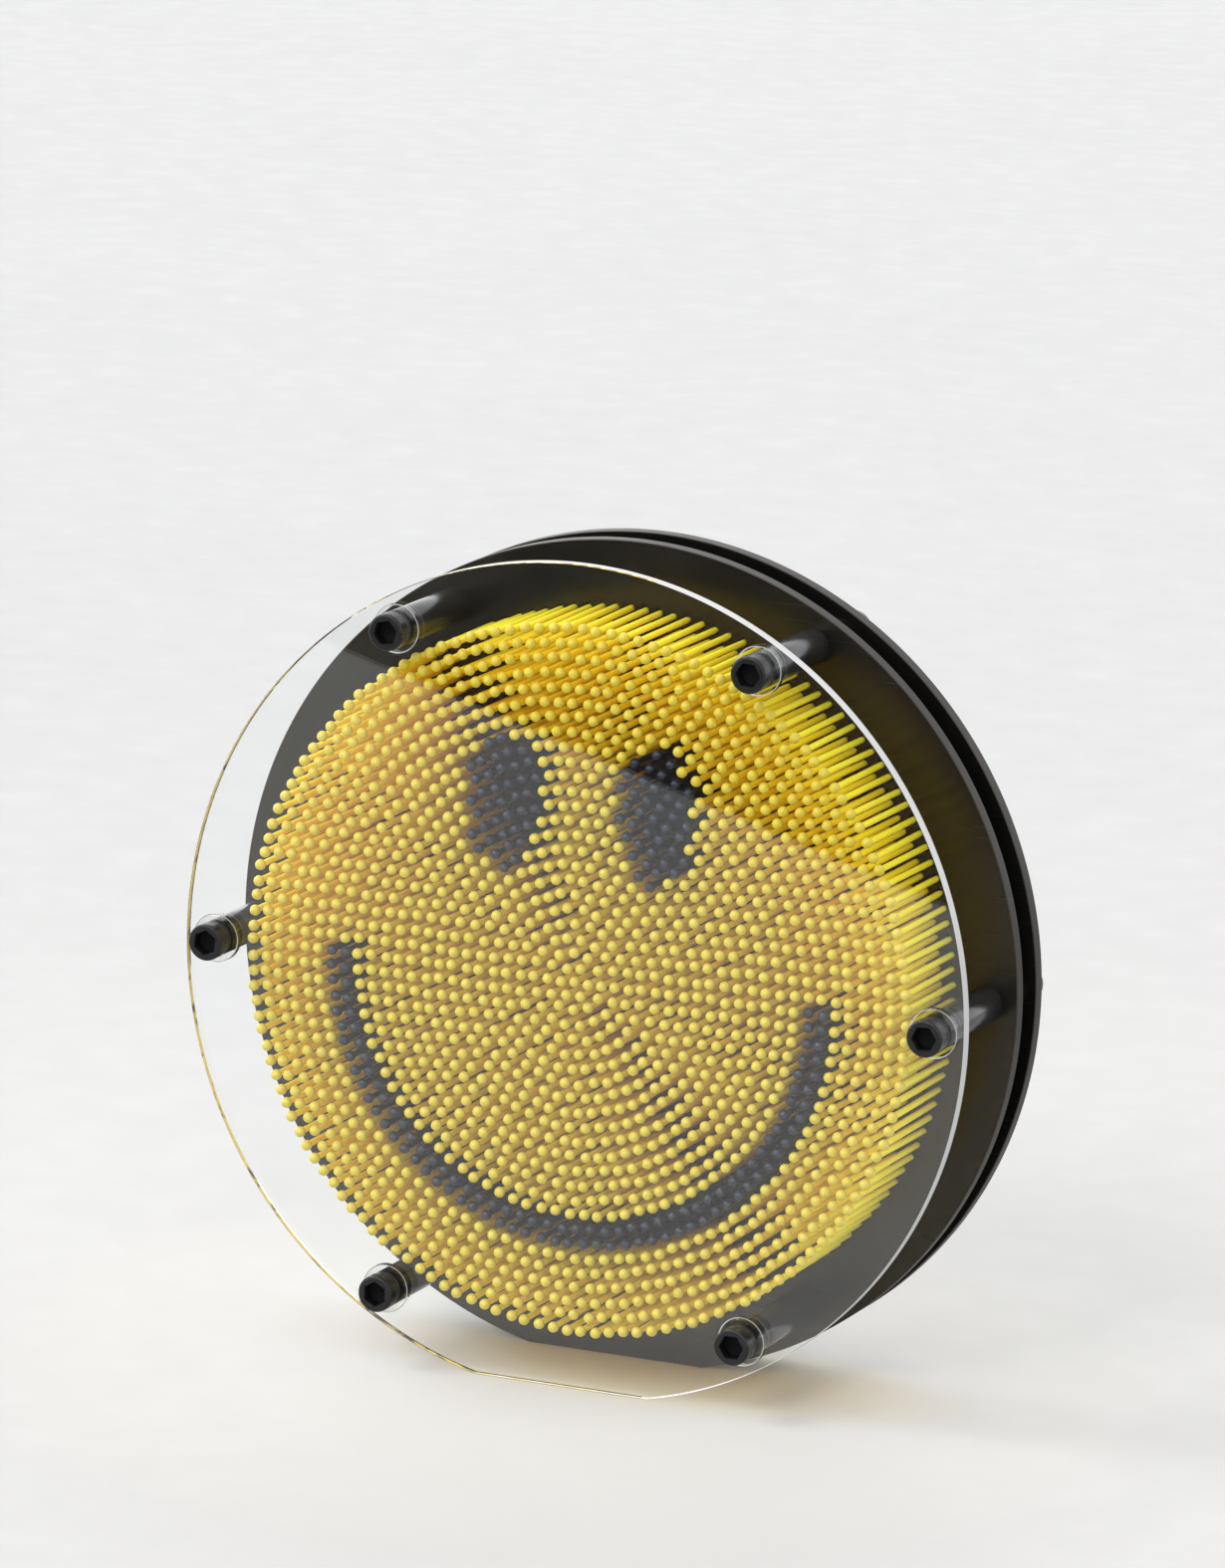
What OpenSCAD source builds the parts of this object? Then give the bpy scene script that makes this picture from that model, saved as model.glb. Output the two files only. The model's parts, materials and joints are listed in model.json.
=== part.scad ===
// Pin art impression toy: a round desk toy that stands on a small flat.
// A clear cover, a front pin plate and a rear pin plate are held apart by six
// long socket-head bolts with sleeves. Ball-headed pins slide through both pin
// plates in concentric rings; the black pins draw a plain smiling face.
// Frame: millimetres, +Z up, the front faces -Y. The origin is on the ground,
// under the middle of the object.

/* [Plates] */
// Diameter of the three round plates
plate_d = 203.2; // [150:0.1:260]
// Depth of the flat cut that the toy stands on
flat_depth = 2.6; // [1:0.1:8]
// Thickness of the clear cover
cover_t = 2.8; // [2:0.1:6]
// Clear space between the cover and the front pin plate
front_gap = 29.2; // [15:0.1:60]
// Thickness of each pin plate
pin_plate_t = 3.7; // [2:0.1:8]
// Space between the two pin plates
plate_gap = 8; // [3:0.1:20]

/* [Bolts] */
// Number of bolts
bolt_n = 6; // [3:1:12]
// Radius of the bolt circle
bolt_r = 93.7; // [60:0.1:120]
// Diameter of the bolt head
head_d = 9; // [7:0.1:14]
// Height of the bolt head
head_h = 4.1; // [3:0.1:10]
// How far the front of the head stands in front of the cover
head_proud = 5.8; // [4:0.1:14]
// Rounding bevel at the front rim of the head
head_bevel = 0.6; // [0.2:0.05:1.5]
// Hexagon socket, across flats
socket_af = 5.2; // [3:0.1:8]
// Depth of the hexagon socket
socket_depth = 2.9; // [1:0.1:8]
// Diameter of the bolt shank
shank_d = 5; // [3:0.1:8]

/* [Sleeves, bushings and nuts] */
// Outside diameter of the standoff sleeves and of the plate spacers
sleeve_d = 8.8; // [6:0.1:14]
// Bore of sleeves, spacers and bolt holes in the pin plates
sleeve_bore = 5.4; // [3.2:0.1:9]
// Diameter of the holes in the cover that take the clear bushings
cover_hole_d = 11.4; // [8:0.1:18]
// Radial play on the inside and the outside of a bushing
bushing_play = 0.05; // [0.02:0.01:0.2]
// Depth of the shallow dish in the front face of a bushing
bushing_dish = 0.5; // [0.1:0.05:1]
// Diameter of the rear barrel nuts
nut_d = 9; // [7:0.1:14]
// Height of the rear barrel nuts
nut_h = 9.6; // [4:0.1:16]
// Closed end left behind the thread in a nut
nut_cap = 2; // [1:0.1:5]

/* [Pins] */
// Number of pin rings around the middle pin; ring k holds 6 k pins
ring_n = 24; // [4:1:30]
// Distance from one ring to the next
ring_pitch = 3.56; // [2.5:0.01:6]
// Diameter of the ball on the front of a pin
ball_d = 2.7; // [1.5:0.05:4]
// Diameter of the pin shaft
shaft_d = 1.5; // [0.8:0.05:3]
// Diameter of the pin holes in both pin plates
pin_hole_d = 2.2; // [1:0.05:4]
// Gap from the balls to the cover when the pins are fully forward
ball_gap = 0.3; // [0.1:0.05:3]
// Length of pin left behind the rear plate when fully forward
tail_len = 1.5; // [0:0.1:10]

/* [Face picture] */
// Half width of an eye
eye_a = 9.6; // [4:0.1:20]
// Half height of an eye
eye_b = 16.6; // [4:0.1:30]
// Sideways distance from the middle to an eye
eye_x = 19.9; // [8:0.1:40]
// Height of an eye above the middle of the plates
eye_z = 42; // [10:0.1:60]
// First and last pin ring of the mouth
mouth_rings = [17, 18];
// Last pin ring of each band of plain pins, from the middle outwards
band_ends = [12, 17, 21, 24];
// Number of sectors that each band is divided into
band_sectors = [4, 6, 6, 6];
// Last pin ring in the core of a pin plate
core_rings = 17; // [1:1:23]

/* [Hidden] */
$fn = 48;
plate_r = plate_d / 2;
mid_z = plate_r - flat_depth;                  // height of the plate centres
depth = head_proud + cover_t + front_gap + 2 * pin_plate_t + plate_gap + nut_h;
head_y = -depth / 2;                           // front of the bolt heads
cover_y = head_y + head_proud;                 // front of the cover
plate1_y = cover_y + cover_t + front_gap;      // front of the front pin plate
plate2_y = plate1_y + pin_plate_t + plate_gap; // front of the rear pin plate
back_y = plate2_y + pin_plate_t;               // back of the rear pin plate
sleeve_y = head_y + head_h;                    // underside of the bolt heads
ball_y = cover_y + cover_t + ball_gap + ball_d / 2;
pin_end_y = back_y + tail_len;
shank_end_y = back_y + nut_h - nut_cap - 0.6;

yellow = "gold";
black = [0.08, 0.08, 0.09];
clear = [0.85, 0.93, 0.96, 0.35];

// ---- numbering -------------------------------------------------------------
bolt_ids = [for (i = [1 : bolt_n]) i];
band_names = ["core_pins_", "inner_pins_", "middle_pins_", "rim_pins_"];
bolt_sets = ["socket_bolt_", "clear_bushing_", "standoff_sleeve_", "plate_spacer_", "barrel_nut_"];

// ---- pin layout ------------------------------------------------------------
// A pin is [ring, place]: ring 0 is the single middle pin.
function pins_in(k) = k == 0 ? 1 : 6 * k;
function pin_angle(p) = 360 * p[1] / pins_in(p[0]);
function pin_xz(p) = ring_pitch * p[0] * [cos(pin_angle(p)), sin(pin_angle(p))];
function in_eye(p, side) =
    pow((pin_xz(p)[0] - side * eye_x) / eye_a, 2) + pow((pin_xz(p)[1] - eye_z) / eye_b, 2) <= 1;
function in_mouth(p) =
    p[0] >= mouth_rings[0] && p[0] <= mouth_rings[1] && (p[1] == 0 || p[1] >= 3 * p[0]);
function is_plain(p) = !in_eye(p, -1) && !in_eye(p, 1) && !in_mouth(p);
all_pins = [for (k = [0 : ring_n]) for (i = [0 : pins_in(k) - 1]) [k, i]];
function sector_of(p, n) = 1 + floor(n * p[1] / pins_in(p[0]));
function band_start(b) = b == 0 ? 0 : band_ends[b - 1] + 1;
function band_pins(b, s) =
    [for (k = [band_start(b) : band_ends[b]]) for (i = [0 : pins_in(k) - 1])
        if (sector_of([k, i], band_sectors[b]) == s && is_plain([k, i])) [k, i]];

// ---- helpers ---------------------------------------------------------------
// Place a child that points along +Z so that it points along +Y, at the plate
// centre height and with its foot at depth y.
module along_y(y) translate([0, y, mid_z]) rotate([-90, 0, 0]) children();

// Round outline with the flat at the bottom. Its second axis points down once
// the plate is stood up.
module plate_outline() {
    intersection() {
        circle(r = plate_r, $fn = 180);
        translate([-plate_r, -plate_r]) square([plate_d, plate_r + mid_z]);
    }
}

// Plate of thickness t with its front at y; holes is a list of
// [diameter, list of [x, z]]. Only what lies between the circles of radius
// inner and outer is drawn.
module plate(y, t, holes, inner = 0, outer = plate_r + 1) {
    along_y(y)
        linear_extrude(height = t)
            difference() {
                if (outer > plate_r) plate_outline();
                else circle(r = outer, $fn = 180);
                if (inner > 0) circle(r = inner, $fn = 180);
                for (h = holes, c = h[1]) translate([c[0], -c[1]]) circle(d = h[0]);
            }
}

function bolt_xz(i) = bolt_r * [cos(360 / bolt_n * (i - 1)), sin(360 / bolt_n * (i - 1))];
bolt_spots = [for (i = bolt_ids) bolt_xz(i)];

module at_bolt(i, y) translate([bolt_xz(i)[0], y, mid_z + bolt_xz(i)[1]]) rotate([-90, 0, 0]) children();

// Tube along +Z with small bevels at both outer rims
module tube(d, bore, h, bevel = 0.25) {
    difference() {
        union() {
            cylinder(d1 = d - 2 * bevel, d2 = d, h = bevel);
            translate([0, 0, bevel]) cylinder(d = d, h = h - 2 * bevel);
            translate([0, 0, h - bevel]) cylinder(d1 = d, d2 = d - 2 * bevel, h = bevel);
        }
        translate([0, 0, -1]) cylinder(d = bore, h = h + 2);
    }
}

// ---- plates ----------------------------------------------------------------
module clear_cover() color(clear) plate(cover_y, cover_t, [[cover_hole_d, bolt_spots]]);

// A pin plate is drawn as two nodes that meet at a circle between two pin
// rings, because it has so many holes: its core and its rim.
seam_r = (core_rings + 0.5) * ring_pitch;
module plate_core(y) color(black)
    plate(y, pin_plate_t, [[pin_hole_d, [for (p = all_pins) if (p[0] <= core_rings) pin_xz(p)]]],
        outer = seam_r);
module plate_rim(y) color(black)
    plate(y, pin_plate_t, [[sleeve_bore, bolt_spots],
        [pin_hole_d, [for (p = all_pins) if (p[0] > core_rings) pin_xz(p)]]], inner = seam_r);

// ---- hardware --------------------------------------------------------------
module socket_bolt(i) color(black) at_bolt(i, head_y) difference() {
    union() {
        cylinder(d1 = head_d - 2 * head_bevel, d2 = head_d, h = head_bevel);
        translate([0, 0, head_bevel]) cylinder(d = head_d, h = head_h - head_bevel);
        translate([0, 0, head_h]) cylinder(d = shank_d, h = shank_end_y - sleeve_y);
    }
    rotate(30) translate([0, 0, -1]) cylinder(d = socket_af / cos(30), h = socket_depth + 1, $fn = 6);
}

module clear_bushing(i) color(clear) at_bolt(i, cover_y) difference() {
    cylinder(d = cover_hole_d - 2 * bushing_play, h = cover_t);
    translate([0, 0, -1]) cylinder(d = sleeve_d + 2 * bushing_play, h = cover_t + 2);
    translate([0, 0, -0.01])
        cylinder(d1 = cover_hole_d - 1, d2 = sleeve_d + 2 * bushing_play - 0.02, h = bushing_dish);
}

module standoff_sleeve(i) color(black) at_bolt(i, sleeve_y) tube(sleeve_d, sleeve_bore, plate1_y - sleeve_y);

module plate_spacer(i) color(black)
    at_bolt(i, plate1_y + pin_plate_t) tube(sleeve_d, sleeve_bore, plate_gap);

module barrel_nut(i) color(black) at_bolt(i, back_y) difference() {
    union() {
        cylinder(d = nut_d, h = nut_h - head_bevel);
        translate([0, 0, nut_h - head_bevel])
            cylinder(d1 = nut_d, d2 = nut_d - 2 * head_bevel, h = head_bevel);
    }
    translate([0, 0, -1]) cylinder(d = shank_d, h = nut_h - nut_cap + 1);
}

// ---- pins ------------------------------------------------------------------
module pin(p) along_y(0) translate([pin_xz(p)[0], -pin_xz(p)[1], 0]) {
    translate([0, 0, ball_y]) sphere(d = ball_d);
    translate([0, 0, ball_y]) cylinder(d = shaft_d, h = pin_end_y - ball_y);
}
module pins(list) for (p = list) pin(p);

module left_eye_pins() color(black) pins([for (p = all_pins) if (in_eye(p, -1)) p]);
module right_eye_pins() color(black) pins([for (p = all_pins) if (in_eye(p, 1)) p]);
module mouth_pins() color(black) pins([for (p = all_pins) if (in_mouth(p)) p]);
module plain_pins(b, s) color(yellow) pins(band_pins(b, s));

clear_cover();
plate_core(plate1_y);  // front_plate_core
plate_rim(plate1_y);  // front_plate_rim
plate_core(plate2_y);  // rear_plate_core
plate_rim(plate2_y);  // rear_plate_rim
for (i = bolt_ids) {
    socket_bolt(i);
    clear_bushing(i);
    standoff_sleeve(i);
    plate_spacer(i);
    barrel_nut(i);
}
left_eye_pins();
right_eye_pins();
mouth_pins();
for (b = [0 : len(band_names) - 1], s = [1 : band_sectors[b]])
    plain_pins(b, s);
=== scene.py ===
import json
import math
import random

import bpy
from mathutils import Matrix, Vector
from mathutils.geometry import delaunay_2d_cdt

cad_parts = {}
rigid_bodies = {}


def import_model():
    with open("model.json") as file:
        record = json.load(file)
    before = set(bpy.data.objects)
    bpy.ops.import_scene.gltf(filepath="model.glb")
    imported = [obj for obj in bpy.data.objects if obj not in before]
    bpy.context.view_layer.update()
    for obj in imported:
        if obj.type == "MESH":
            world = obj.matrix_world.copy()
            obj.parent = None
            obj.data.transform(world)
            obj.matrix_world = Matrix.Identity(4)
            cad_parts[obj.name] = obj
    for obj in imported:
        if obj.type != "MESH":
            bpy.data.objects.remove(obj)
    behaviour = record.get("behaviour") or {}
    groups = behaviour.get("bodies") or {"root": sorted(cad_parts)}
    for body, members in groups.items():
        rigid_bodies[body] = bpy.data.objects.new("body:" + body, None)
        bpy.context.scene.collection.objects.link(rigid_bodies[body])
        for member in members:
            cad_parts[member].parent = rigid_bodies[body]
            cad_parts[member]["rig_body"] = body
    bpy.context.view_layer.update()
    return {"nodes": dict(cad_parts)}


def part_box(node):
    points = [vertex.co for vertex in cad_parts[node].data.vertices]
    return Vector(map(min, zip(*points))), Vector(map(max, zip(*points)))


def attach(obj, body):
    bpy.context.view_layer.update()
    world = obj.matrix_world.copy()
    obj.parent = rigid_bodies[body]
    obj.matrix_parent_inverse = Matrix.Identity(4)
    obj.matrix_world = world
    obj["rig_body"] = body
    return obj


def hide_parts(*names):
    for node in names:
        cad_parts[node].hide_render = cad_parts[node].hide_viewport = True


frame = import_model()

# Pin art impression toy: looks. Metres, in the CAD model's frame: +Z up, the
# clear cover faces -Y, and the origin is on the ground under the middle.

MM = 0.001
TAU = 2 * math.pi
rnd = random.Random(1801)
nodes = frame["nodes"]

# ---- dimensions: from the CAD nodes, except the radii in mm -----------------
cover_lo, cover_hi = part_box("clear_cover")
PLATE_R = (cover_hi.x - cover_lo.x) / 2
MID_Z = cover_hi.z - PLATE_R
FLAT = cover_lo.z - MID_Z  # height of the foot below the middle, negative
BOLTS = range(1, 7)
SHANK_BORE_R = 2.7 * MM  # of the holes that the bolts' shanks pass
bushing_lo, bushing_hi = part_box("clear_bushing_1")
BUSHING_R = (bushing_hi.z - bushing_lo.z) / 2
pin_lo, pin_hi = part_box("rim_pins_1")
BALL_R, SHAFT_R, HOLE_R = 1.35 * MM, 0.75 * MM, 1.1 * MM
BALL_Y, TAIL_Y = pin_lo.y + BALL_R, pin_hi.y


def middle_of(node):
    """(x, z) of a node's axis."""
    lo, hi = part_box(node)
    return ((lo.x + hi.x) / 2, (lo.z + hi.z) / 2)


def radius_of(node):
    lo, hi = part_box(node)
    return (hi.z - lo.z) / 2


def pin_axes(node):
    """(x, z) of every pin in a node, from the rims of the pins' tail ends."""
    near = 1.7 * MM  # nearer than the next pin, farther than a tail is wide
    co = [v.co for v in nodes[node].data.vertices]
    back = max(c.y for c in co)
    tails = []
    for c in co:
        if c.y < back - 0.01 * MM:
            continue
        for tail in tails:
            if abs(tail[0][0] - c.x) < near and abs(tail[0][1] - c.z) < near:
                tail.append((c.x, c.z))
                break
        else:
            tails.append([(c.x, c.z)])
    axes = []
    for tail in tails:
        xs = [x for x, _ in tail]
        zs = [z for _, z in tail]
        axes.append(((min(xs) + max(xs)) / 2, (min(zs) + max(zs)) / 2))
    return axes


# ---- node trees -------------------------------------------------------------
class Nodes:
    """A material's or world's node tree, with shorthands to fill it."""

    def __init__(self, owner, output="OutputMaterial"):
        owner.use_nodes = True
        self.owner, self.tree = owner, owner.node_tree
        self.tree.nodes.clear()
        self.out = self.add(output)
        self.coord = self.add("TexCoord")

    def add(self, kind, **values):
        """A new node. values: its settings, and its inputs with _ for a space."""
        n = self.tree.nodes.new("ShaderNode" + kind)
        for key, value in values.items():
            if hasattr(n, key):
                setattr(n, key, value)
            else:
                n.inputs[key.replace("_", " ")].default_value = value
        return n

    def link(self, a, b):
        self.tree.links.new(a, b)

    def noise(self, scale, detail=3.0, stretch=None):
        n = self.add("TexNoise", Scale=scale, Detail=detail)
        place = self.coord.outputs["Object"]
        if stretch:
            place = self.mapped(place, stretch)
        self.link(place, n.inputs["Vector"])
        return n.outputs["Fac"]

    def mapped(self, source, scale, location=(0, 0, 0)):
        m = self.add("Mapping", Scale=scale, Location=location)
        self.link(source, m.inputs["Vector"])
        return m.outputs["Vector"]

    def part(self, source, axis):
        """One axis of a vector."""
        split = self.add("SeparateXYZ")
        self.link(source, split.inputs[0])
        return split.outputs[axis]

    def math(self, operation, *values):
        m = self.add("Math", operation=operation)
        for socket, value in zip(m.inputs, values):
            self.link(value, socket)
        return m.outputs[0]

    def spread(self, source, low, high, a=0.3, b=0.7):
        """source, from a to b, mapped to low to high."""
        m = self.add("MapRange", From_Min=a, From_Max=b, To_Min=low, To_Max=high)
        self.link(source, m.inputs["Value"])
        return m.outputs["Result"]

    def ramp(self, source, *stops):
        r = self.add("ValToRGB")
        elements = r.color_ramp.elements
        while len(elements) < len(stops):
            elements.new(0.5)
        for element, (place, colour) in zip(elements, stops):
            element.position, element.color = place, (*colour, 1)
        self.link(source, r.inputs["Fac"])
        return r.outputs["Color"]

    def two_tone(self, source, dark, light, a=0.3, b=0.7):
        """Colour dark, turning into light as source goes from a to b."""
        return self.ramp(source, (a, dark), (b, light))

    def mix(self, factor, a, b):
        """Colour a, turning into b as factor goes from 0 to 1."""
        m = self.add("Mix", data_type="RGBA")
        self.link(factor, m.inputs["Factor"])
        for socket, value in ((m.inputs[6], a), (m.inputs[7], b)):
            if isinstance(value, tuple):
                socket.default_value = (*value, 1)
            else:
                self.link(value, socket)
        return m.outputs[2]

    def bump(self, source, strength, distance, base=None):
        b = self.add("Bump", Strength=strength, Distance=distance)
        self.link(source, b.inputs["Height"])
        if base is not None:
            self.link(base, b.inputs["Normal"])
        return b.outputs["Normal"]

    def blend(self, factor, a, b):
        """Shader a, turning into b as factor, a number or a socket, goes from 0 to 1."""
        m = self.add("MixShader")
        if isinstance(factor, float):
            m.inputs[0].default_value = factor
        else:
            self.link(factor, m.inputs[0])
        self.link(a.outputs[0], m.inputs[1])
        self.link(b.outputs[0], m.inputs[2])
        return m

    def open_to_light(self, shader, tint):
        """The shader, but lamps and diffuse light pass straight through it, tinted."""
        path = self.add("LightPath")
        passing = self.math("MAXIMUM", path.outputs["Is Shadow Ray"], path.outputs["Is Diffuse Ray"])
        return self.blend(passing, shader, self.add("BsdfTransparent", Color=(*tint, 1)))

    def finish(self, shader):
        self.link(shader.outputs[0], self.out.inputs["Surface"])
        return self.owner


def new_material(name):
    return Nodes(bpy.data.materials.new(name))


# ---- materials --------------------------------------------------------------
def moulded_plastic(name, shaft, ball, rough, glow=0.0):
    """Satin moulded plastic for the pins, with a fine orange-peel skin.

    shaft and ball: darkest and lightest colour of each; it varies from pin to
    pin. glow is the share of the light that shines through it.
    """
    k = new_material(name)
    each = k.noise(420, 1.0, (1, 0.02, 1))
    along = k.part(k.coord.outputs["Object"], "Y")
    at_ball = k.spread(along, 1.0, 0.0, BALL_Y + 0.7 * MM, BALL_Y + 1.6 * MM)
    tones = [k.two_tone(each, dark, light) for dark, light in (shaft, ball)]
    skin = k.add("BsdfPrincipled", IOR=1.5)
    k.link(k.mix(at_ball, *tones), skin.inputs["Base Color"])
    k.link(k.spread(k.noise(1500, 4.0), rough - 0.06, rough + 0.07), skin.inputs["Roughness"])
    k.link(k.bump(k.noise(2600, 2.0), 0.12, 0.06 * MM), skin.inputs["Normal"])
    if not glow:
        return k.finish(skin)
    skin.inputs["Subsurface Weight"].default_value = 1.0
    skin.inputs["Subsurface Radius"].default_value = (1.0, 0.85, 0.3)
    skin.inputs["Subsurface Scale"].default_value = 1.5 * MM
    lit_through = k.blend(glow, skin, k.add("BsdfTransparent", Color=(1.0, 0.86, 0.4, 1)))
    path = k.add("LightPath")
    seen = skin
    for ray in ("Is Shadow Ray", "Is Diffuse Ray"):
        seen = k.blend(path.outputs[ray], seen, lit_through)
    return k.finish(seen)


def black_hardware(name, base, rough, gloss):
    """Semi-gloss black plastic hardware: a faint cloudiness and a fine skin."""
    k = new_material(name)
    dark, light = (tuple(share * c for c in base) for share in (0.8, 1.3))
    p = k.add("BsdfPrincipled", IOR=1.5, Specular_IOR_Level=gloss)
    k.link(k.two_tone(k.noise(260, 5.0), dark, light), p.inputs["Base Color"])
    k.link(k.spread(k.noise(300, 4.0), rough - 0.03, rough + 0.05), p.inputs["Roughness"])
    k.link(k.bump(k.noise(900, 2.0), 0.05, 0.02 * MM), p.inputs["Normal"])
    return k.finish(p)


def black_acrylic(name):
    """Cast black sheet.

    Its faces are mirror-like, with hairline scratches and faint smears. Its
    saw-cut edges are satin, with lines along the cut.
    """
    k = new_material(name)
    flat = k.math("ABSOLUTE", k.part(k.coord.outputs["Normal"], "Y"))
    edge = k.spread(flat, 1.0, 0.0, 0.55, 0.9)
    smear = k.noise(22, 5.0)
    scratches = k.spread(k.noise(14, 2.0, (1, 1, 90)), 0.0, 0.08, 0.62, 0.7)
    cut = k.noise(90, 4.0, (1, 26, 1))
    rough = k.add("Mix", data_type="FLOAT")
    k.link(edge, rough.inputs["Factor"])
    k.link(k.math("ADD", k.spread(smear, 0.17, 0.26), scratches), rough.inputs[2])
    k.link(k.spread(cut, 0.34, 0.52), rough.inputs[3])
    face_colour = k.two_tone(smear, (0.0035, 0.0033, 0.0032), (0.006, 0.0058, 0.0056))
    edge_colour = k.two_tone(cut, (0.021, 0.0185, 0.0175), (0.034, 0.030, 0.0285))
    # painted reflection: the faces' reflections are tinted warm, like the pins' yellow light mirrored in them
    p = k.add("BsdfPrincipled", IOR=1.49, Specular_Tint=(1.0, 0.90, 0.68, 1))
    k.link(k.mix(edge, face_colour, edge_colour), p.inputs["Base Color"])
    k.link(rough.outputs[0], p.inputs["Roughness"])
    k.link(k.spread(edge, 0.46, 0.12, 0.0, 1.0), p.inputs["Specular IOR Level"])
    saw_lines = k.bump(k.math("MULTIPLY", cut, edge), 0.25, 0.08 * MM)
    k.link(k.bump(k.noise(9, 2.0), 0.02, 0.4 * MM, saw_lines), p.inputs["Normal"])
    return k.finish(p)


CLEAR_TINT = (0.985, 0.992, 0.99)
CLEAR_IOR = 1.53  # acrylic's is 1.49; this gives the photograph's pale veil


def clear_acrylic(name):
    """Polished clear sheet, very slightly wavy. Lamps shine through it."""
    k = new_material(name)
    glass = k.add("BsdfGlass", IOR=CLEAR_IOR, Roughness=0.0, Color=(*CLEAR_TINT, 1))
    k.link(k.bump(k.noise(16, 2.0), 0.012, 0.6 * MM), glass.inputs["Normal"])
    return k.finish(k.open_to_light(glass, (0.962, 0.968, 0.965)))


def soft_clear(name):
    """Soft clear plastic: what is behind it hardly bends, and its skin gleams a little."""
    k = new_material(name)
    through = k.add("BsdfTransparent")
    k.link(k.two_tone(k.noise(300), (0.93, 0.935, 0.93), (0.97, 0.975, 0.97)), through.inputs["Color"])
    return k.finish(k.blend(0.04, through, k.add("BsdfGlossy", Roughness=0.12)))


def cut_edge(name, white):
    """The cut rim of the clear sheet.

    From outside it scatters light and looks pale. From inside it is the sheet's glass,
    with painted reflection: diffuse dashes of the pins' colour on the left, and
    painted pale light on the right.
    """
    k = new_material(name)
    cut = k.noise(70, 4.0, (1, 30, 1))
    pale = k.add("BsdfDiffuse")
    k.link(k.two_tone(cut, tuple(0.86 * c for c in white), white), pale.inputs["Color"])
    satin = k.add("BsdfGlossy", Roughness=0.3, Color=(0.9, 0.9, 0.9, 1))
    k.link(k.bump(cut, 0.2, 0.06 * MM), satin.inputs["Normal"])
    outside = k.blend(0.12, pale, satin)

    to_right = k.spread(k.part(k.coord.outputs["Object"], "X"), 0.0, 1.0, 0.0, 30 * MM)
    # painted reflection: this diffuse colour, the pins' yellow on the left and white on the right, stands in
    # for what the inside of the edge mirrors
    glow = k.add("BsdfDiffuse")
    k.link(k.mix(to_right, (0.98, 0.80, 0.28), (0.95, 0.95, 0.94)), glow.inputs["Color"])
    dashes = k.spread(k.noise(190, 2.0), 0.12, 0.92, 0.40, 0.50)
    # painted light: the inside turns wholly to the pale colour towards the right
    share = k.math("MAXIMUM", dashes, k.spread(to_right, 0.0, 0.92, 0.0, 1.0))
    glass = k.add("BsdfGlass", IOR=CLEAR_IOR, Roughness=0.0, Color=(*CLEAR_TINT, 1))
    inside = k.blend(share, glass, glow)

    both = k.blend(k.add("NewGeometry").outputs["Backfacing"], outside, inside)
    return k.finish(k.open_to_light(both, (0.94, 0.95, 0.945)))


YELLOW = moulded_plastic(
    "yellow_plastic",
    shaft=((0.98, 0.745, 0.02), (1.0, 0.81, 0.045)),
    # painted shade: the balls are the shafts' plastic made darker, to offset the fuller light on their fronts
    ball=((0.54, 0.435, 0.025), (0.60, 0.495, 0.045)),
    rough=0.42,
    glow=0.78,
)
BLACK_PIN = moulded_plastic(
    "black_pin_plastic",
    shaft=((0.004, 0.005, 0.008), (0.009, 0.011, 0.016)),
    ball=((0.003, 0.006, 0.016), (0.006, 0.010, 0.026)),
    rough=0.08,
)
BOLT = black_hardware("bolt_black", (0.007, 0.007, 0.0075), rough=0.25, gloss=0.3)
# painted shade: a darker, matt copy of the bolt's plastic for the inside of the sockets, where shade falls
SOCKET_SHADE = black_hardware("socket_painted_shade", (0.003, 0.003, 0.003), rough=0.7, gloss=0.1)
SLEEVE = black_hardware("sleeve_black", (0.009, 0.009, 0.0095), rough=0.22, gloss=0.45)
PLATE = black_acrylic("plate_black")
COVER = clear_acrylic("cover_clear")
COVER_EDGE = cut_edge("cover_cut_edge", (0.48, 0.48, 0.475))
# painted highlight: near-white diffuse on the holes' front chamfers stands in for the light their rims catch
HOLE_RIM = cut_edge("cover_hole_rim", (0.95, 0.95, 0.94))
BUSHING = soft_clear("bushing_clear")


# ---- mesh building ----------------------------------------------------------
def piece(name, mesh_data, material, body, replaced, smooth_below=35):
    """One finished piece that rides on a body and stands for CAD nodes.

    mesh_data: (vertices, faces). Edges that turn less than smooth_below degrees
    are shaded smooth.
    """
    verts, faces = mesh_data
    mesh = bpy.data.meshes.new(name)
    mesh.from_pydata(verts, [], faces)
    mesh.validate()
    mesh.polygons.foreach_set("use_smooth", [True] * len(mesh.polygons))
    mesh.set_sharp_from_angle(angle=math.radians(smooth_below))
    mesh.materials.append(material)
    mesh.update()
    ob = bpy.data.objects.new(name, mesh)
    bpy.context.scene.collection.objects.link(ob)
    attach(ob, body)
    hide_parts(*replaced)
    return ob


def circle(cx, cz, r, n, turn=0.0):
    angles = [TAU * i / n + turn for i in range(n)]
    return [(cx + r * math.cos(a), cz + r * math.sin(a)) for a in angles]


def ring(axis, y, r, n, turn=0.0):
    """Points around an axis, or the one point on it when r is 0."""
    if r <= 0:
        return [(axis[0], y, axis[1])]
    return [(x, y, z) for x, z in circle(*axis, r, n, turn)]


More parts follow.
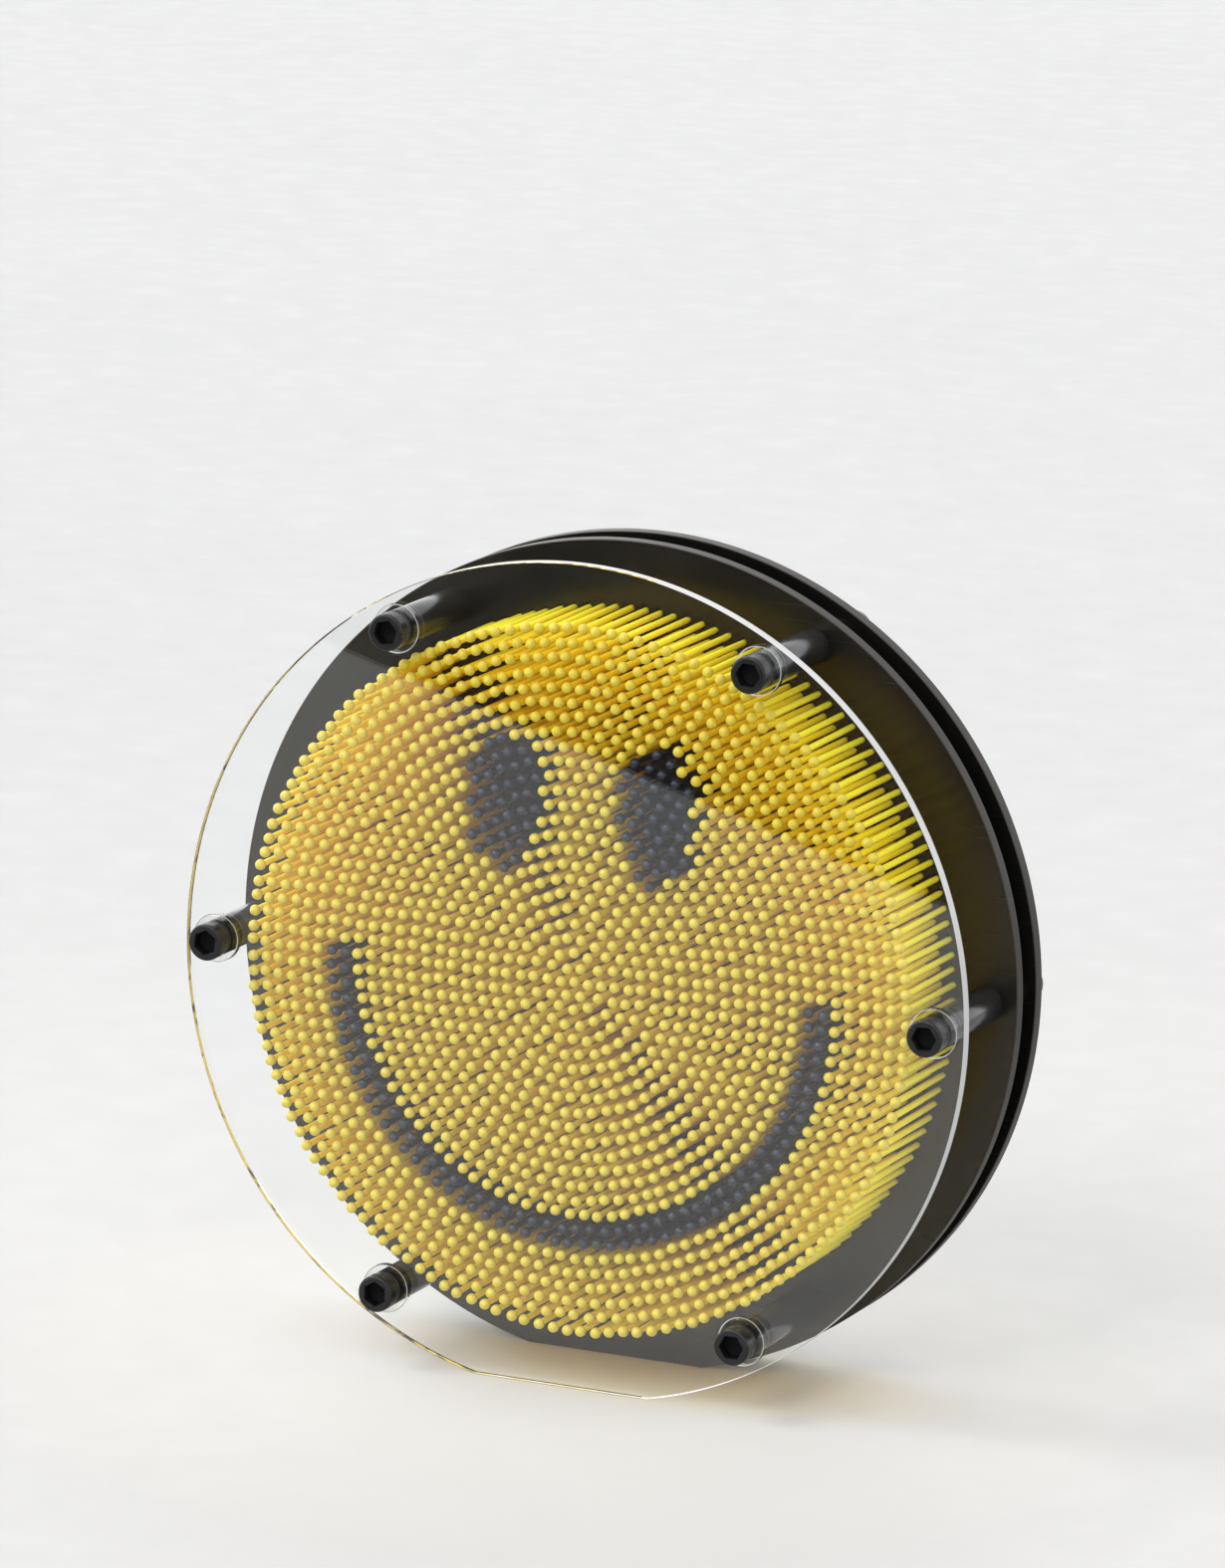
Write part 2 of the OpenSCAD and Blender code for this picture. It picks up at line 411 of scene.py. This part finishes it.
def turned(rings, closed=False):
    """Vertices and faces of a surface through rings of equal length, from front to back.

    A ring of one point closes an end. closed joins the last ring to the first.
    """
    verts, faces, rows = [], [], []
    for points in rings:
        rows.append(range(len(verts), len(verts) + len(points)))
        verts += points
    if closed:
        rows.append(rows[0])
    for a, b in zip(rows, rows[1:]):
        n = max(len(a), len(b))
        for i in range(n):
            j = (i + 1) % n
            if len(a) == 1:
                faces.append((a[0], b[i], b[j]))
            elif len(b) == 1:
                faces.append((a[i], b[0], a[j]))
            else:
                faces.append((a[i], b[i], b[j], a[j]))
    return verts, faces


def plate_outline(inset):
    """Round outline with its level foot, moved inwards by inset, anticlockwise from the front."""
    n_round, n_foot = 360, 24
    r, foot = PLATE_R - inset, FLAT + inset
    start = math.asin(foot / r)
    angles = [start + (math.pi - 2 * start) * i / (n_round - 1) for i in range(n_round)]
    outline = [(r * math.cos(a), MID_Z + r * math.sin(a)) for a in angles]
    (x0, z0), (x1, _) = outline[-1], outline[0]
    return outline + [(x0 + (x1 - x0) * i / n_foot, z0) for i in range(1, n_foot)]


def sheet_loops(chamfer, holes, hole_chamfer):
    """The rims of a sheet: (loop on the faces, loop on the side, chamfer, whether it is a hole)."""
    loops = [(plate_outline(chamfer), plate_outline(0), chamfer, False)]
    for axis, r, n in holes:
        on_face, on_side = circle(*axis, r + hole_chamfer, n), circle(*axis, r, n)
        loops.append((on_face, on_side, hole_chamfer, True))
    return loops


TRIANGLES_WITHIN = 2  # delaunay_2d_cdt's output: the triangles that the edges enclose
SAME_POINT = 1e-9


def sheet_mesh(y0, y1, chamfer, holes, hole_chamfer):
    """Vertices and faces of a sheet from y0 to y1 with chamfered rims. holes: (axis, radius, points)."""
    loops = sheet_loops(chamfer, holes, hole_chamfer)
    flat, edges, loop_of = [], [], []
    for number, (face_loop, *_) in enumerate(loops):
        start, n = len(flat), len(face_loop)
        flat += face_loop
        loop_of += [number] * n
        edges += [(start + i, start + (i + 1) % n) for i in range(n)]
    points = [Vector(p) for p in flat]
    co, _, tris, back_ids, _, _ = delaunay_2d_cdt(points, edges, [], TRIANGLES_WITHIN, SAME_POINT)
    if len(co) != len(flat):
        raise RuntimeError(f"the sheet's outline changed: {len(flat)} points became {len(co)}")
    order = [ids[0] for ids in back_ids]
    n_flat = len(flat)
    verts = [(x, y0, z) for x, z in flat] + [(x, y1, z) for x, z in flat]
    faces = [tuple(order[i] for i in t) for t in tris]
    # a triangle with all its corners on one hole's rim lies in the hole
    faces = [t for t in faces if loop_of[t[0]] == 0 or len({loop_of[i] for i in t}) > 1]
    faces += [tuple(n_flat + i for i in reversed(f)) for f in faces]
    start = 0
    for face_loop, side_loop, c, hole in loops:
        n = len(face_loop)
        rows = [[start + i for i in range(n)]]
        if c > 0:
            for y in (y0 + c, y1 - c):
                rows.append([len(verts) + i for i in range(n)])
                verts += [(x, y, z) for x, z in side_loop]
        rows.append([n_flat + start + i for i in range(n)])
        for near, far in zip(rows, rows[1:]):
            for i in range(n):
                j = (i + 1) % n
                quad = (near[i], far[i], far[j], near[j])
                faces.append(tuple(reversed(quad)) if hole else quad)
        start += n
    return verts, faces


# ---- cover and pin plates ---------------------------------------------------
bolt_at = {i: middle_of(f"socket_bolt_{i}") for i in BOLTS}
pin_nodes = sorted(n for n in nodes if n.endswith("_pins") or "_pins_" in n)
pins_at = {n: pin_axes(n) for n in pin_nodes}
COVER_HOLE_R = BUSHING_R + 0.05 * MM
NEAR_HOLE = 7 * MM
COVER_EDGE_INDEX, BUSHING_INDEX, HOLE_RIM_INDEX = 1, 2, 3
# largest Y of a face's normal, either way: on a side, and on a side or a chamfer
ON_SIDE, ON_CHAMFER = 0.5, 0.9
PALE_CHAMFER_FROM = 20 * MM  # painted light: to the right of this the outer chamfers get the pale cut edge too, where the rim catches light


def add_cover():
    holes = [(bolt_at[i], COVER_HOLE_R, 72) for i in BOLTS]
    mesh_data = sheet_mesh(cover_lo.y, cover_hi.y, 0.18 * MM, holes, hole_chamfer=0.28 * MM)
    cover = piece("cover", mesh_data, COVER, "frame", ["clear_cover"])
    for extra in (COVER_EDGE, BUSHING, HOLE_RIM):
        cover.data.materials.append(extra)
    for poly in cover.data.polygons:
        x, _, z = poly.center
        off_side = abs(poly.normal.y)
        if any(math.hypot(x - cx, z - cz) <= NEAR_HOLE for cx, cz in bolt_at.values()):
            if off_side < ON_CHAMFER:
                # a hole's front chamfer is painted pale, a painted highlight for the light on its rim; its
                # wall and rear chamfer are clear
                front_chamfer = poly.normal.y <= -0.1
                poly.material_index = HOLE_RIM_INDEX if front_chamfer else BUSHING_INDEX
        elif off_side < (ON_CHAMFER if x > PALE_CHAMFER_FROM else ON_SIDE):
            poly.material_index = COVER_EDGE_INDEX


def add_plates():
    every_pin = [p for n in pin_nodes for p in pins_at[n]]
    holes = [(bolt_at[i], SHANK_BORE_R, 32) for i in BOLTS] + [(p, HOLE_R, 18) for p in every_pin]
    for name in ("front", "rear"):
        lo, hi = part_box(f"{name}_plate_rim")
        mesh_data = sheet_mesh(lo.y, hi.y, 0.22 * MM, holes, hole_chamfer=0.0)
        replaced = [f"{name}_plate_core", f"{name}_plate_rim"]
        piece(f"{name}_plate", mesh_data, PLATE, "frame", replaced, smooth_below=28)


add_cover()
add_plates()

# ---- bolts, bushings, sleeves, spacers and nuts -----------------------------
SOCKET_TURN = {1: 4, 2: -3, 3: 12, 4: 25, 5: 31, 6: 2}  # degrees
SOCKET_ACROSS, SOCKET_DEEP = 5.2 * MM, 2.9 * MM
SOCKET_FLOOR_R, DRILL_POINT = 2.2 * MM, 0.35 * MM
AROUND_SOCKET_R = 3.35 * MM  # clear of the socket's chamfered corners
SHANK_END_R = 2.0 * MM
SHANK_R = 2.5 * MM
N_HEAD, N_TUBE = 72, 64  # points around
SOCKET_FACES = 3 * N_HEAD  # a bolt's first faces: the socket's floor and walls
SOCKET_SHADE_INDEX = 1


def hexagon(axis, y, across, turn):
    """A hexagon with as many points as the head's rings."""
    points = []
    for i in range(N_HEAD):
        a = TAU * i / N_HEAD
        off = (a - turn) % (TAU / 6) - TAU / 12
        r = across / 2 / math.cos(off)
        points.append((axis[0] + r * math.cos(a), y, axis[1] + r * math.sin(a)))
    return points


def bolt_rings(axis, y, seat, end, head_r, turn):
    """From the socket's bottom, out over the head and down the shank. y: the head's face."""
    bottom, lip = y + SOCKET_DEEP, 0.6 * MM
    rings = [ring(axis, bottom + DRILL_POINT, 0, N_HEAD)]
    rings.append(ring(axis, bottom, SOCKET_FLOOR_R, N_HEAD))
    rings.append(hexagon(axis, bottom - 0.1 * MM, SOCKET_ACROSS - 0.1 * MM, turn))
    rings.append(hexagon(axis, y + 0.3 * MM, SOCKET_ACROSS, turn))
    rings.append(hexagon(axis, y + 0.02 * MM, SOCKET_ACROSS + 0.34 * MM, turn))
    rings.append(ring(axis, y, AROUND_SOCKET_R, N_HEAD))
    rings.append(ring(axis, y, head_r - lip, N_HEAD))
    for step in range(1, 7):
        a = math.pi / 2 * step / 6
        rings.append(ring(axis, y + lip * (1 - math.cos(a)), head_r - lip + lip * math.sin(a), N_HEAD))
    rings.append(ring(axis, seat - 0.25 * MM, head_r, N_HEAD))
    rings.append(ring(axis, seat, head_r - 0.2 * MM, N_HEAD))
    rings.append(ring(axis, seat, SHANK_R, N_HEAD))
    rings.append(ring(axis, end - 0.5 * MM, SHANK_R, N_HEAD))
    rings.append(ring(axis, end, SHANK_END_R, N_HEAD))
    rings.append(ring(axis, end, 0, N_HEAD))
    return rings


def add_bolt(i):
    node = f"socket_bolt_{i}"
    lo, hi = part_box(node)
    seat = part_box(f"standoff_sleeve_{i}")[0].y
    turn = math.radians(SOCKET_TURN[i])
    rings = bolt_rings(bolt_at[i], lo.y, seat, hi.y, radius_of(node), turn)
    bolt = piece(f"bolt_{i}", turned(rings), BOLT, "frame", [node])
    bolt.data.materials.append(SOCKET_SHADE)
    # painted shade: the socket's floor and walls take the darker, matt copy of the plastic
    for poly in bolt.data.polygons[:SOCKET_FACES]:
        poly.material_index = SOCKET_SHADE_INDEX


def add_tube(name, node, axis):
    """A sleeve or a spacer, with rounded outer corners."""
    lo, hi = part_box(node)
    r, corner = radius_of(node), 0.28 * MM
    rings = [ring(axis, lo.y, SHANK_BORE_R, N_TUBE), ring(axis, lo.y, r - corner, N_TUBE)]
    for end, inwards, shares in ((lo.y, 1, (0.5, 1.0)), (hi.y, -1, (1.0, 0.5))):
        for share in shares:
            a = share * math.pi / 2
            y = end + inwards * corner * (1 - math.cos(a))
            rings.append(ring(axis, y, r - corner + corner * math.sin(a), N_TUBE))
    rings += [ring(axis, hi.y, r - corner, N_TUBE), ring(axis, hi.y, SHANK_BORE_R, N_TUBE)]
    piece(name, turned(rings, closed=True), SLEEVE, "frame", [node])


def add_bushing(i):
    node = f"clear_bushing_{i}"
    lo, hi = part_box(node)
    bore, dish, corner = 4.45 * MM, 0.45 * MM, 0.15 * MM
    rims = (
        (lo.y + dish, bore),
        (lo.y + 0.22 * MM, bore + dish),
        (lo.y, BUSHING_R - dish),
        (lo.y, BUSHING_R - corner),
        (lo.y + corner, BUSHING_R),
        (hi.y - corner, BUSHING_R),
        (hi.y, BUSHING_R - corner),
        (hi.y, bore),
    )
    rings = [ring(bolt_at[i], y, r, N_HEAD) for y, r in rims]
    piece(f"bushing_{i}", turned(rings, closed=True), BUSHING, "frame", [node])


def add_nut(i):
    """A barrel nut: open to the front for the shank, closed and domed at the back."""
    node = f"barrel_nut_{i}"
    lo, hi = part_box(node)
    axis, r = bolt_at[i], radius_of(node)
    deep, dome, dimple = 7.6 * MM, 0.6 * MM, 0.35 * MM
    rims = [
        (lo.y + deep, 0),
        (lo.y + deep, SHANK_R),
        (lo.y + 0.3 * MM, SHANK_R),
        (lo.y, 2.8 * MM),
        (lo.y, r - 0.25 * MM),
        (lo.y + 0.25 * MM, r),
    ]
    for step in range(6):
        a = math.pi / 2 * step / 5
        rims.append((hi.y - dome * (1 - math.sin(a)), r - dome + dome * math.cos(a)))
    rims += [(hi.y, 1.4 * MM), (hi.y - dimple, 1.1 * MM), (hi.y - dimple, 0)]
    rings = [ring(axis, y, around, N_TUBE) for y, around in rims]
    piece(f"nut_{i}", turned(rings), SLEEVE, "frame", [node])


for i in BOLTS:
    add_bolt(i)
    add_tube(f"sleeve_{i}", f"standoff_sleeve_{i}", bolt_at[i])
    add_tube(f"spacer_{i}", f"plate_spacer_{i}", bolt_at[i])
    add_bushing(i)
    add_nut(i)

# ---- pins -------------------------------------------------------------------
PLAY = 0.33 * MM  # how far a pin's axis may lie off its holes' middle
N_PIN = 16
PIN_LENGTH = TAIL_Y - BALL_Y
NECK_FROM, NECK_TO = 1.19 * MM, 1.35 * MM  # where the ball runs out into the shaft
BLACK_NODES = ("left_eye_pins", "right_eye_pins", "mouth_pins")


def pin_profile():
    """(distance from the ball's middle, radius) from the ball's front pole to the tail."""
    rows = [(-BALL_R, 0.0)]
    for degrees in (22, 42, 61, 79, 97, 114, 130, 142):
        a = math.radians(degrees)
        rows.append((-BALL_R * math.cos(a), BALL_R * math.sin(a)))
    rows += [(NECK_FROM, SHAFT_R + 0.03 * MM), (NECK_TO, SHAFT_R)]
    rows += [(PIN_LENGTH - 0.22 * MM, SHAFT_R), (PIN_LENGTH - 0.06 * MM, SHAFT_R - 0.12 * MM)]
    rows += [(PIN_LENGTH, SHAFT_R - 0.3 * MM), (PIN_LENGTH, 0.0)]
    return rows


PROFILE = pin_profile()


def off_centre(sideways, upwards):
    """A random place for an axis in its hole. sideways, upwards: (mean, deviation), in shares of the play."""
    off = Vector((rnd.gauss(*sideways), rnd.gauss(*upwards)))
    if off.length > 1:
        off.normalize()
    return off * PLAY


def add_pin(verts, faces, x, z):
    """One pin as it rests in its holes: a little off centre and askew."""
    head = off_centre((-0.12, 0.75), (-0.3, 0.75))
    tail = off_centre((0.1, 0.6), (0.25, 0.6))
    back_by = rnd.uniform(0, 0.2) * MM
    spin = rnd.uniform(0, TAU / N_PIN)
    rings = []
    for along, radius in PROFILE:
        lean = head + (tail - head) * (along / PIN_LENGTH)
        at_tail = along > PIN_LENGTH - 1 * MM
        y = BALL_Y + along + (0 if at_tail else back_by)
        rings.append(ring((x + lean.x, z + lean.y), y, radius, N_PIN, spin))
    start = len(verts)
    new_verts, new_faces = turned(rings)
    verts += new_verts
    faces += [tuple(start + i for i in face) for face in new_faces]


def add_pins(node):
    verts, faces = [], []
    for x, z in pins_at[node]:
        add_pin(verts, faces, x, z)
    material, slot = (BLACK_PIN, "black_pin") if node in BLACK_NODES else (YELLOW, "yellow_pin")
    name = node.replace("_pins", "_ball_pins")
    piece(name, (verts, faces), material, nodes[node]["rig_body"], [node], smooth_below=50)


for node in pin_nodes:
    add_pins(node)


# ---- floor and board --------------------------------------------------------
def staged(name, corners, face, material):
    """A flat four-cornered thing of the studio, not of the part."""
    mesh = bpy.data.meshes.new(name)
    mesh.from_pydata(corners, [], [face])
    mesh.materials.append(material)
    ob = bpy.data.objects.new(name, mesh)
    bpy.context.scene.collection.objects.link(ob)
    return ob


def floor_paper(name):
    """Pale matt paper with painted light: lighter near the toy, and a painted warm glow below it for the
    light that shines through the pins.
    """
    k = new_material(name)

    def distance(x, stretch):
        """Distance on the floor from (x, 0), with its axes stretched."""
        away = k.add("VectorMath", operation="LENGTH")
        k.link(k.mapped(k.coord.outputs["Object"], stretch, (-x * stretch[0], 0, 0)), away.inputs[0])
        return away.outputs["Value"]

    # painted light: the paper is made lighter near the toy, standing in for light that lifts the shade around
    # it
    tone = k.ramp(
        k.spread(distance(0, (1, 1, 1)), 0.0, 1.0, 0.0, 0.8),
        (0.075, (0.575, 0.568, 0.551)),
        (0.137, (0.510, 0.504, 0.489)),
        (0.20, (0.463, 0.459, 0.450)),
        (0.35, (0.451, 0.447, 0.441)),
        (0.56, (0.427, 0.425, 0.420)),
        (1.0, (0.413, 0.412, 0.409)),
    )
    # painted glow: a warm patch below the toy stands in for the light that shines through the yellow pins
    below = k.spread(distance(0.015, (0.55, 1.25, 1)), 1.0, 0.0, 0.018, 0.045)
    tone = k.mix(below, tone, (0.618, 0.551, 0.406))
    mottled = k.add("Mix", data_type="RGBA", blend_type="MULTIPLY", Factor=1.0)
    k.link(tone, mottled.inputs[6])
    k.link(k.two_tone(k.noise(7, 6.0), (0.985,) * 3, (1.0,) * 3, 0.35, 0.65), mottled.inputs[7])
    p = k.add("BsdfPrincipled", Specular_IOR_Level=0.15)
    k.link(mottled.outputs[2], p.inputs["Base Color"])
    k.link(k.spread(k.noise(60, 5.0), 0.55, 0.75), p.inputs["Roughness"])
    k.link(k.bump(k.noise(900, 4.0), 0.06, 0.2 * MM), p.inputs["Normal"])
    return k.finish(p)


def dark_card(name):
    k = new_material(name)
    p = k.add("BsdfDiffuse")
    k.link(k.two_tone(k.noise(30), (0.03, 0.028, 0.025), (0.045, 0.043, 0.04)), p.inputs["Color"])
    return k.finish(p)


FLOOR_REACH = 9
floor_corners = [(x * FLOOR_REACH, y * FLOOR_REACH, 0) for x, y in ((-1, -1), (1, -1), (1, 1), (-1, 1))]
floor = staged("floor", floor_corners, (0, 1, 2, 3), floor_paper("studio_floor"))

# A dark board on the floor in front of the toy, which only its mirror image in
# the sheets shows: a painted dark reflection standing in for the darker room in front. The pale veil on the
# cover ends along the board's edge.
board_corners = [(x, y, 1 * MM) for x, y in ((-0.04, -0.467), (-0.04, -1.7), (-2.2, -2.9), (-2.2, -2.075))]
board = staged("board", board_corners, (0, 3, 2, 1), dark_card("studio_board"))
board.visible_camera = board.visible_diffuse = board.visible_shadow = False

# ---- light ------------------------------------------------------------------
world = bpy.data.worlds.new("studio")
bpy.context.scene.world = world
k = Nodes(world, "OutputWorld")
sky = k.add("Background", Color=(0.975, 0.985, 1.0, 1))
direction = k.coord.outputs["Generated"]
brighter_below = k.spread(k.part(direction, "Z"), 2.1, 1.1, 0.0, 1.0)
brighter_left = k.spread(k.part(direction, "X"), 1.4, 0.78, -1.0, 1.0)
k.link(k.math("MULTIPLY", brighter_below, brighter_left), sky.inputs["Strength"])
k.finish(sky)

SUNS = (  # name, strength, width in degrees, colour, direction it shines in
    ("key", 0.88, 20, (1.0, 0.975, 0.94), (0.60, 0.10, -0.79)),
    ("front", 0.8, 24, (1.0, 0.985, 0.96), (0.16, 0.72, -0.68)),
)
for name, strength, width, colour, towards in SUNS:
    lamp = bpy.data.objects.new(name, bpy.data.lights.new(name, "SUN"))
    lamp.data.energy, lamp.data.angle, lamp.data.color = strength, math.radians(width), colour
    lamp.rotation_mode = "QUATERNION"
    lamp.rotation_quaternion = Vector(towards).to_track_quat("-Z", "Y")
    bpy.context.scene.collection.objects.link(lamp)

bpy.context.scene.view_settings.view_transform = "Standard"

# ---- camera -----------------------------------------------------------------
AZIMUTH, ELEVATION, ROLL = (math.radians(a) for a in (24.57, 12.86, 1.25))
CAMERA_AT = (0.89025, -1.95007, 0.63211)
back = Vector(
    (
        math.sin(AZIMUTH) * math.cos(ELEVATION),
        -math.cos(AZIMUTH) * math.cos(ELEVATION),
        math.sin(ELEVATION),
    )
)
level_right = Vector((math.cos(AZIMUTH), math.sin(AZIMUTH), 0))
level_up = back.cross(level_right)
right = math.cos(ROLL) * level_right + math.sin(ROLL) * level_up
up = math.cos(ROLL) * level_up - math.sin(ROLL) * level_right
turn = Matrix((right, up, back)).transposed().to_4x4()
cam = bpy.data.objects.new("camera", bpy.data.cameras.new("camera"))
bpy.context.scene.collection.objects.link(cam)
cam.matrix_world = Matrix.Translation(CAMERA_AT) @ turn
cam.data.lens = 212.1056
cam.data.clip_start, cam.data.clip_end = 0.05, 60
bpy.context.scene.camera = cam
